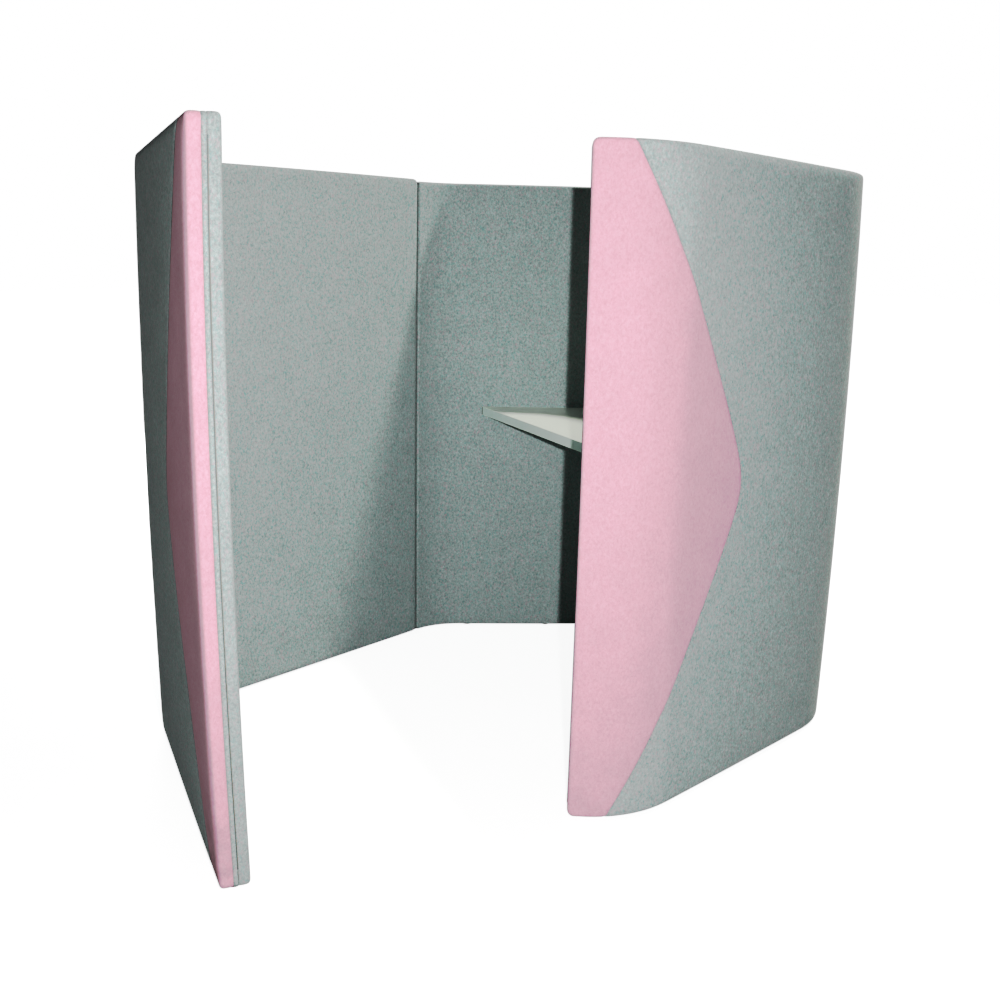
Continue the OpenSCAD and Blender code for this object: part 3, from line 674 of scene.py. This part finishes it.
MATERIALS = {
    "foam": foam_shader("foam", pale=rgb(0.80, 0.76, 0.64), dark=rgb(0.52, 0.47, 0.36), scale=900.0),
    "acoustic_infill": wool_slab_shader("acoustic_infill", dark=(0.45, 0.36, 0.16), mid=(0.66, 0.56, 0.30),
                                        pale=(0.80, 0.72, 0.46)),
    "plywood": wood_shader("plywood", pale=rgb(0.62, 0.44, 0.25), dark=rgb(0.42, 0.27, 0.13), plies=True),
    "timber": wood_shader("timber", pale=rgb(0.70, 0.53, 0.33), dark=rgb(0.52, 0.35, 0.18), plies=False),
    "board": board_shader("board", dark=rgb(0.36, 0.25, 0.14), pale=rgb(0.62, 0.48, 0.31)),
    "laminate": laminate_shader("laminate", rgb(0.92, 0.97, 0.89), worn=rgb(0.86, 0.90, 0.82), rough=0.50),
    "edge_band": laminate_shader("edge_band", rgb(0.70, 0.80, 0.75), worn=rgb(0.62, 0.70, 0.65), rough=0.50,
                                 end=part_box("worktop_edge")[1].y - BAND_END_SHADE_WIDTH),
    "bracket_steel": coat_shader("bracket_steel", rgb(0.035, 0.035, 0.038), rough=0.42, scale=900),
    "zinc_steel": metal_shader("zinc_steel", rgb(0.62, 0.63, 0.63), rough=0.34, brushed=False),
    "glide": coat_shader("glide", rgb(0.03, 0.03, 0.032), rough=0.50, scale=1200),
    "zip_tape": tape_shader("zip_tape", dark=rgb(0.10, 0.12, 0.12), pale=rgb(0.20, 0.23, 0.23)),
    "zip_metal": metal_shader("zip_metal", rgb(0.55, 0.55, 0.54), rough=0.30, brushed=True),
}

WALLS = make_walls()
for wall in WALLS:
    make_felt(wall, grey_felt, pink_felt)

# ---- Zips, sliders and glides. A place on a front end is (across, up, out), across from the closing seam ----


class EndFrame:
    """Places points on a wall's front end: across its thickness, up from the floor, out of its face."""

    def __init__(self, wall):
        def spot(s, depth):
            return place(wall, np.array([s]), np.array([depth]), np.array([-FLOOR_GAP]))[0]
        self.end = spot(wall["length"], SEAM_DEPTH)
        self.side = spot(wall["length"], SEAM_DEPTH + 1) - self.end
        self.out = spot(wall["length"] + 1, SEAM_DEPTH) - self.end

    def __call__(self, across, up, out):
        return self.end + across * self.side + up * np.array([0, 0, 1.0]) + out * self.out


def tidy_normals(obj):
    bm = bmesh.new()
    bm.from_mesh(obj.data)
    bmesh.ops.recalc_face_normals(bm, faces=bm.faces)
    bm.to_mesh(obj.data)
    bm.free()


def loops_solid(name, loops, capped=True):
    """A solid from rings of the same number of points. It ends in flat caps, or else its last ring joins its
    first."""
    n = len(loops[0])
    faces = []
    for k in range(len(loops) - (1 if capped else 0)):
        a, b = k * n, (k + 1) % len(loops) * n
        faces += [(a + i, a + (i + 1) % n, b + (i + 1) % n, b + i) for i in range(n)]
    if capped:
        faces += [tuple(range(n))[::-1], tuple((len(loops) - 1) * n + i for i in range(n))]
    obj = new_object(name, [p for loop in loops for p in loop], faces)
    tidy_normals(obj)
    return obj


def join(name, parts):
    """One mesh out of several, each already in its place."""
    joined = bmesh.new()
    for part in parts:
        joined.from_mesh(part.data)
        bpy.data.objects.remove(part)
    mesh = bpy.data.meshes.new(name)
    joined.to_mesh(mesh)
    joined.free()
    obj = bpy.data.objects.new(name, mesh)
    bpy.context.scene.collection.objects.link(obj)
    return obj


def dress(obj, body, slot, node):
    """Gives a piece its material and its body, and hides the CAD node that it replaces."""
    obj.data.materials.append(MATERIALS[slot])
    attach(obj, body)
    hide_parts(node)


def oval(half_width, low, high, n=24):
    """An upright outline with round ends, as (across, up)."""
    mid_low, mid_high = low + half_width, high - half_width
    points = []
    for k in range(n):
        t = 2 * math.pi * k / n
        middle = mid_high if math.sin(t) > 0 else mid_low
        points.append((half_width * math.cos(t), middle + half_width * math.sin(t)))
    return points


def plate(name, at, outline, low, high, round_by):
    """A flat plate with rounded edges, from an outline of (across, up) points."""
    centre = np.mean(outline, 0)
    loops = []
    for shrink, out in ((round_by, low), (0, low + round_by), (0, high - round_by), (round_by, high)):
        ring = []
        for p in outline:
            d = np.array(p) - centre
            inset = d * max(0.0, 1 - shrink / max(np.linalg.norm(d), TINY))
            ring.append(at(*(centre + inset), out))
        loops.append(ring)
    return loops_solid(name, loops)


ZIP_WIDTH, ZIP_LOW, ZIP_HIGH = 1.8 * MM, -2.0 * MM, -1.0 * MM      # the chain lies below the end face
TAPE_SIDE, TAPE_THICK, TAPE_OVER, TAPE_RINGS = 0.15 * MM, 0.4 * MM, 7 * MM, 90
TOOTH_PITCH = 2.0 * MM
TOOTH_SHIFT = 0.22 * MM
# Of a tooth: height, half width and half length at three levels.
TOOTH = [(ZIP_LOW + 0.35 * MM, 0.62, 0.62), (ZIP_LOW + 0.75 * MM, 0.62, 0.62), (ZIP_HIGH, 0.42, 0.36)]
OCTAGON = [(-1, -0.5), (-0.5, -1), (0.5, -1), (1, -0.5), (1, 0.5), (0.5, 1), (-0.5, 1), (-1, 0.5)]


def make_zip(wall, at):
    name = wall["name"] + "_zip"
    low, high = (c.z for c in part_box(name))
    wide = ZIP_WIDTH / 2 + TAPE_SIDE
    top = ZIP_LOW + TAPE_THICK
    section = [(-wide, ZIP_LOW), (wide, ZIP_LOW), (wide, top), (-wide, top)]
    ups = np.linspace(low - TAPE_OVER, high + TAPE_OVER, TAPE_RINGS)
    parts = [loops_solid(name + "_tape", [[at(a, up, out) for a, out in section] for up in ups])]
    for k in range(int((high - low) / TOOTH_PITCH) - 1):
        up = low + (k + 1) * TOOTH_PITCH
        side = TOOTH_SHIFT * (1 if k % 2 else -1)
        loops = [[at(side + a * w * MM, up + b * h * MM, out) for a, b in OCTAGON] for out, w, h in TOOTH]
        parts.append(loops_solid("tooth", loops))
    dress(join(name + "_chain", parts), "screens", "zip_tape", name)


# Of a slider, in millimetres: the body's outline, and the section of the bridge over it.
SHIELD = [(-0.7, 0), (0.7, 0), (0.85, 2), (0.95, 7), (0.9, 10.5), (0.6, 12), (-0.6, 12), (-0.9, 10.5),
          (-0.95, 7), (-0.85, 2)]
SHIELD_LENGTH = 12 * MM
SHIELD_LOW, SHIELD_HIGH, SHIELD_ROUND = -0.95 * MM, -0.05 * MM, 0.2 * MM
BRIDGE = [(-0.35, -0.12), (0.35, -0.12), (0.35, 0.12), (-0.35, 0.12)]
BRIDGE_UP, BRIDGE_HALF, BRIDGE_OUT, BRIDGE_RISE, BRIDGE_RINGS = 6, 3.2, -0.1, 0.75, 9
PULL_HALF, HOLE_HALF, HOLE_LOW, HOLE_HIGH = 0.65 * MM, 0.32 * MM, 1.1 * MM, 4.2 * MM
PULL_OUT, PULL_THICK = 0.02 * MM, 0.45 * MM


def make_slider(wall, at):
    name = wall["name"] + "_zip_slider"
    low, high = (c.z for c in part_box(name))
    body_low = high - SHIELD_LENGTH
    outline = [(a * MM, body_low + b * MM) for a, b in SHIELD]
    body = plate("body", at, outline, SHIELD_LOW, SHIELD_HIGH, SHIELD_ROUND)
    arch = []
    for t in np.linspace(0, math.pi, BRIDGE_RINGS):
        up = body_low + (BRIDGE_UP - BRIDGE_HALF * math.cos(t)) * MM
        out = (BRIDGE_OUT + BRIDGE_RISE * math.sin(t)) * MM
        arch.append([at(a * MM, up, out + b * MM) for a, b in BRIDGE])
    bridge = loops_solid("bridge", arch)
    outer = oval(PULL_HALF, low, body_low + BRIDGE_UP * MM)
    hole = oval(HOLE_HALF, low + HOLE_LOW, low + HOLE_HIGH)
    top = PULL_OUT + PULL_THICK
    rings = [(outer, PULL_OUT), (outer, top), (hole, top), (hole, PULL_OUT)]
    pull = loops_solid("pull", [[at(a, up, out) for a, up in ring] for ring, out in rings], capped=False)
    dress(join(name + "_metal", [body, bridge, pull]), name, "zip_metal", name)


def lathe(name, centre, profile, steps):
    """A turned solid from (radius, height) points."""
    x, y = centre
    turns = [2 * math.pi * k / steps for k in range(steps)]
    loops = [[(x + r * math.cos(t), y + r * math.sin(t), z) for t in turns] for r, z in profile]
    return loops_solid(name, loops)


# Of a glide: the foot's (radius, height) in millimetres, and its thread.
FOOT = [(12.6, 0), (14.2, 0.25), (15.0, 1.0), (15.0, 2.2), (14.4, 3.1), (12.8, 3.75), (10, 4.0), (6.2, 4.0)]
FOOT_STEPS, STEM_STEPS = 48, 24
STEM_FROM = 3.9 * MM
THREAD_PITCH, THREAD_R, CORE_R, STEM_END_R = 1.25 * MM, 4.0 * MM, 3.45 * MM, 3.2 * MM


def make_glide(node):
    """A nylon foot on a threaded stem, in place of a plain one."""
    low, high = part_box(node)
    centre = ((low.x + high.x) / 2, (low.y + high.y) / 2)
    foot = lathe("foot", centre, [(r * MM, low.z + z * MM) for r, z in FOOT], FOOT_STEPS)
    thread = [(THREAD_R, low.z + STEM_FROM)]
    while thread[-1][1] < high.z - 2 * THREAD_PITCH:
        z = thread[-1][1]
        thread += [(CORE_R, z + 0.5 * THREAD_PITCH), (THREAD_R, z + THREAD_PITCH)]
    thread.append((STEM_END_R, high.z))
    glide = join(node + "_foot", [foot, lathe("stem", centre, thread, STEM_STEPS)])
    for p in glide.data.polygons:
        p.use_smooth = len(p.vertices) == 4
    dress(glide, node, "glide", node)


for wall in WALLS:
    if wall["tip"] is not None:
        at = EndFrame(wall)
        make_zip(wall, at)
        make_slider(wall, at)
for part in frame["record"]["subparts"]:
    if part["material_slot"] == "glide":
        make_glide(part["node"])

# ---- CAD nodes that stay: their material, and a small bevel where an edge catches the light ----

# Widths in millimetres, by the start of a node's name; "glide" covers the nuts as well.
BEVELS = {"worktop": 0.4, "desk_brackets": 0.6, "link_plates": 0.6, "glide": 0.8, "bracket_screws": 0.4,
          "link_screws": 0.4, "link_dowels": 0.6}
SHARP = math.radians(40)            # an edge that bends by less stays as it is
for part in frame["record"]["subparts"]:
    if part["material_slot"] not in MATERIALS:
        continue                    # a felt, which has its own pieces
    node = frame["nodes"][part["node"]]
    node.data.materials.clear()
    node.data.materials.append(MATERIALS[part["material_slot"]])
    for start, width in BEVELS.items():
        if part["node"].startswith(start):
            bevel = node.modifiers.new("bevel", "BEVEL")
            bevel.width, bevel.segments = width * MM, 2
            bevel.limit_method, bevel.angle_limit = "ANGLE", SHARP

# ---- Camera ----

LENS_MM = 37.43
SENSOR_MM = 36.0
BARREL = -0.1406                    # r = f t (1 + BARREL t^2), with t the tangent off the axis
CAMERA_PLACE = (-1.0006, -2.4044, 1.1644)
HEADING = math.radians(67.088)      # of the look direction, from +X
TILT_DOWN = math.radians(13.011)
ROLL = math.radians(1.209)          # turns the picture's content clockwise
WIDEST = math.radians(38)           # off the axis, as far as the lens is fitted
FIELD = math.radians(120)


def make_camera():
    data = bpy.data.cameras.new("camera")
    data.lens, data.sensor_width = LENS_MM, SENSOR_MM
    data.type, data.panorama_type = "PANO", "FISHEYE_LENS_POLYNOMIAL"
    data.fisheye_fov = FIELD
    angle = np.linspace(0, WIDEST, 200)
    t = np.tan(angle)
    r = LENS_MM * t * (1 + BARREL * t * t)
    k = np.linalg.lstsq(np.stack([r, r ** 2, r ** 3, r ** 4], 1), angle, rcond=None)[0]
    data.fisheye_polynomial_k0 = 0.0
    for i in range(4):
        setattr(data, f"fisheye_polynomial_k{i + 1}", -float(k[i]))
    camera = bpy.data.objects.new("camera", data)
    flat = math.cos(TILT_DOWN)
    look = Vector((math.cos(HEADING) * flat, math.sin(HEADING) * flat, -math.sin(TILT_DOWN)))
    turn = look.to_track_quat("-Z", "Y").to_matrix() @ Matrix.Rotation(ROLL, 3, "Z")
    camera.matrix_world = Matrix.Translation(CAMERA_PLACE) @ turn.to_4x4()
    bpy.context.scene.collection.objects.link(camera)
    bpy.context.scene.camera = camera


make_camera()

# ---- Stage and light ----

AMBIENT = 0.08
WHITE = 2.0                 # scene light that shows as pure white
COMBINED = 3                # the curve of all three colours
TONES = [(0.05, 0.014), (0.13, 0.055), (0.20, 0.13), (0.30, 0.26), (0.40, 0.375), (0.55, 0.455),
         (0.78, 0.555), (1.0, 0.65), (1.32, 0.79)]      # a photographic curve: scene light, what it shows as
FLOOR_HALF = 40
FLOOR_GLOW = 1.72           # what the floor adds for the camera only, so that it is nearly white
FLOOR_FADE = (1.8, 4.0)     # it turns into the pale background between these distances
# Name, place, aim, size, watts, colour. The key is a flash just right of the camera, the room light comes
# from above on the far right, and the other two are for the faces that the camera hardly sees.
LIGHTS = [("key", (-0.827, -2.25, 1.16), (0.0, 0.2, 0.75), 0.025, 55.5, (1.0, 0.985, 0.98)),
          ("room", (2.83, 0.34, 4.54), (0.0, 0.1, 0.7), 0.35, 205, (1.0, 0.97, 0.90)),
          ("back", (-0.2, 4.8, 1.1), (0, 0.2, 0.75), 1.6, 330, (0.97, 0.99, 1.0)),
          ("side", (-4.6, -0.6, 0.9), (-0.8, -0.2, 0.7), 2.0, 11, (1.0, 1.0, 1.0))]


def area_light(name, at, towards, size, power, colour):
    data = bpy.data.lights.new(name, "AREA")
    data.shape, data.size, data.energy, data.color = "DISK", size, power, colour
    lamp = bpy.data.objects.new(name, data)
    lamp.location = at
    lamp.rotation_mode = "QUATERNION"
    lamp.rotation_quaternion = (Vector(towards) - Vector(at)).to_track_quat("-Z", "Y")
    bpy.context.scene.collection.objects.link(lamp)


def set_tones(scene):
    view = scene.view_settings
    view.view_transform = "Standard"
    view.use_curve_mapping = True
    view.curve_mapping.white_level = (WHITE, WHITE, WHITE)
    curve = view.curve_mapping.curves[COMBINED]
    for light, shown in TONES:
        curve.points.new(light / WHITE, shown)
    view.curve_mapping.update()


def make_world(scene):
    """A weak even light that the camera sees as pure white."""
    world = bpy.data.worlds.new("world")
    scene.world = world
    world.use_nodes = True
    tree = world.node_tree
    path = tree.nodes.new("ShaderNodeLightPath")
    mix = tree.nodes.new("ShaderNodeMix")
    mix.data_type = "RGBA"
    mix.inputs[MIX_A].default_value = (AMBIENT, AMBIENT, AMBIENT, 1)
    mix.inputs[MIX_B].default_value = (WHITE, WHITE, WHITE, 1)
    tree.links.new(path.outputs["Is Camera Ray"], mix.inputs[MIX_FACTOR])
    tree.links.new(mix.outputs[MIX_RESULT], tree.nodes["Background"].inputs["Color"])


def make_floor():
    corners = [(x * FLOOR_HALF, y * FLOOR_HALF, 0) for x, y in ((-1, -1), (1, -1), (1, 1), (-1, 1))]
    floor = new_object("floor", corners, [(0, 1, 2, 3)])
    m = Shader("floor")
    ray = m.node("LightPath").outputs["Is Camera Ray"]
    away = m.node("VectorMath", {0: m.place}, operation="LENGTH").outputs["Value"]
    glow = m.span(away, *FLOOR_FADE, FLOOR_GLOW, WHITE)
    grain = m.spread(m.noise(3.0, detail=3.0), 0.34, 0.36)
    m.set(Base_Color=m.grey(grain), Roughness=0.9, Specular_IOR_Level=0.1, Emission_Color=rgb(1, 1, 1),
          Emission_Strength=m.maths("MULTIPLY", ray, glow))
    floor.data.materials.append(m.material)


set_tones(bpy.context.scene)
make_world(bpy.context.scene)
make_floor()
for light in LIGHTS:
    area_light(*light)
